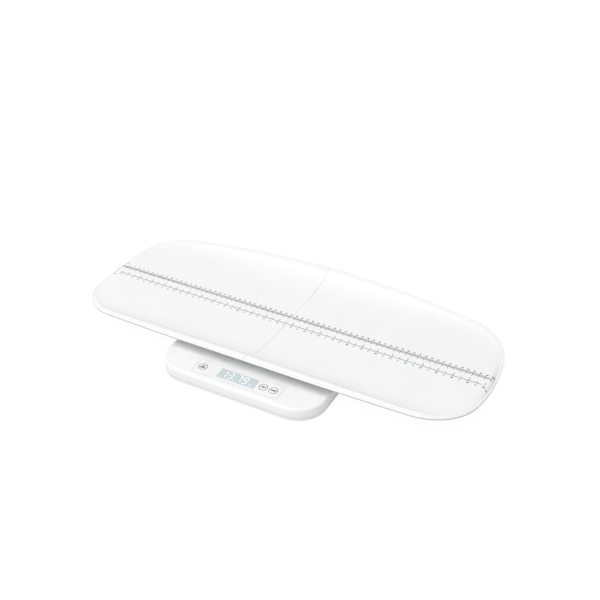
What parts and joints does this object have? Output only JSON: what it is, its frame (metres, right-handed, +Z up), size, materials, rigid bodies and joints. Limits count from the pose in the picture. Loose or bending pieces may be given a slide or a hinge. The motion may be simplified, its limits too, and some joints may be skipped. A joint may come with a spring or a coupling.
{
  "type": "digital baby scale",
  "caption": "Low electronic baby scale: long two-piece trough tray with a printed length ruler on a rounded base with display, push buttons and load-cell feet.",
  "frame": {"origin": "on the surface the scale stands on, under the middle of its whole outline", "axes": "+X along the tray to the right of someone reading the display, -Y towards the display side, +Z up"},
  "size_m": [0.7048, 0.3414, 0.0553],
  "materials": {
    "tray": "smooth white satin-gloss ABS with a fine printed ruler",
    "frame": "plain moulded white ribs",
    "posts": "plain moulded white posts",
    "base_top_shell": "smooth white satin-gloss ABS",
    "base_bottom_cover": "fine matt moulded texture, slightly greyer white",
    "battery_jacket": "plain printed jacket, bare ends",
    "contact_metal": "nickel-plated spring steel",
    "panel_overlay": "smooth white film with a thin grey edge line",
    "lcd_window": "clear flat acrylic window",
    "lcd_glass": "grey-blue display with pale segments",
    "backlight": "milky light guide",
    "circuit_board": "green solder mask",
    "black_plastic": "black moulded resin",
    "plug_plastic": "off-white nylon",
    "button": "smooth white cap with a dark ring at its edge",
    "screw_steel": "bright zinc-plated steel",
    "gauge_film": "amber film under clear gel",
    "wire_jacket_red": "soft red wire jacket",
    "wire_jacket_black": "soft black wire jacket",
    "load_cell_steel": "stamped alloy steel plate",
    "foot_cup": "plain moulded white cup",
    "foot_rubber": "soft grey non-slip rubber"
  },
  "bodies": {
    "base": {"base_top_shell": "base_top_shell", "base_bottom_cover": "base_bottom_cover", "batteries": "battery_jacket", "battery_springs": "contact_metal", "battery_contacts": "contact_metal", "panel_overlay": "panel_overlay", "lcd_window": "lcd_window", "lcd_glass": "lcd_glass", "lcd_backlight": "backlight", "main_board": "circuit_board", "controller_chip": "black_plastic", "wire_plugs": "plug_plastic", "key_switches": "black_plastic", "board_screws": "screw_steel", "shell_screws": "screw_steel", "strain_gauges": "gauge_film", "sensor_wires": "wire_jacket_red", "battery_lead": "wire_jacket_black", "load_cell_front_left": "load_cell_steel", "foot_cup_front_left": "foot_cup", "foot_pad_front_left": "foot_rubber", "load_cell_front_right": "load_cell_steel", "foot_cup_front_right": "foot_cup", "foot_pad_front_right": "foot_rubber", "load_cell_back_left": "load_cell_steel", "foot_cup_back_left": "foot_cup", "foot_pad_back_left": "foot_rubber", "load_cell_back_right": "load_cell_steel", "foot_cup_back_right": "foot_cup", "foot_pad_back_right": "foot_rubber"},
    "tray_left": {"tray_left": "tray", "tray_frame_left": "frame", "tray_posts_left": "posts"},
    "tray_right": {"tray_right": "tray", "tray_frame_right": "frame", "tray_posts_right": "posts"},
    "battery_door": {"battery_door": "base_bottom_cover"},
    "button_power": {"button_power": "button", "plunger_power": "black_plastic"},
    "button_unit": {"button_unit": "button", "plunger_unit": "black_plastic"},
    "button_tare": {"button_tare": "button", "plunger_tare": "black_plastic"}
  },
  "joints": [
    {"name": "tray_lift", "type": "slide", "parent": "base", "child": "tray_left", "axis": [0, 0, 1], "range_m": [0, 0.08]},
    {"name": "tray_half_lift", "type": "slide", "parent": "tray_left", "child": "tray_right", "axis": [0, 0, 1], "range_m": [0, 0.06]},
    {"name": "battery_door_slide", "type": "slide", "parent": "base", "child": "battery_door", "axis": [0, 1, 0], "range_m": [0, 0.045]},
    {"name": "button_power_press", "type": "slide", "parent": "base", "child": "button_power", "axis": [0, 0.0436, -0.999], "range_m": [0, 0.0007], "stiffness_N_per_m": 900},
    {"name": "button_unit_press", "type": "slide", "parent": "base", "child": "button_unit", "axis": [0, 0.0436, -0.999], "range_m": [0, 0.0007], "stiffness_N_per_m": 900},
    {"name": "button_tare_press", "type": "slide", "parent": "base", "child": "button_tare", "axis": [0, 0.0436, -0.999], "range_m": [0, 0.0007], "stiffness_N_per_m": 900}
  ]
}
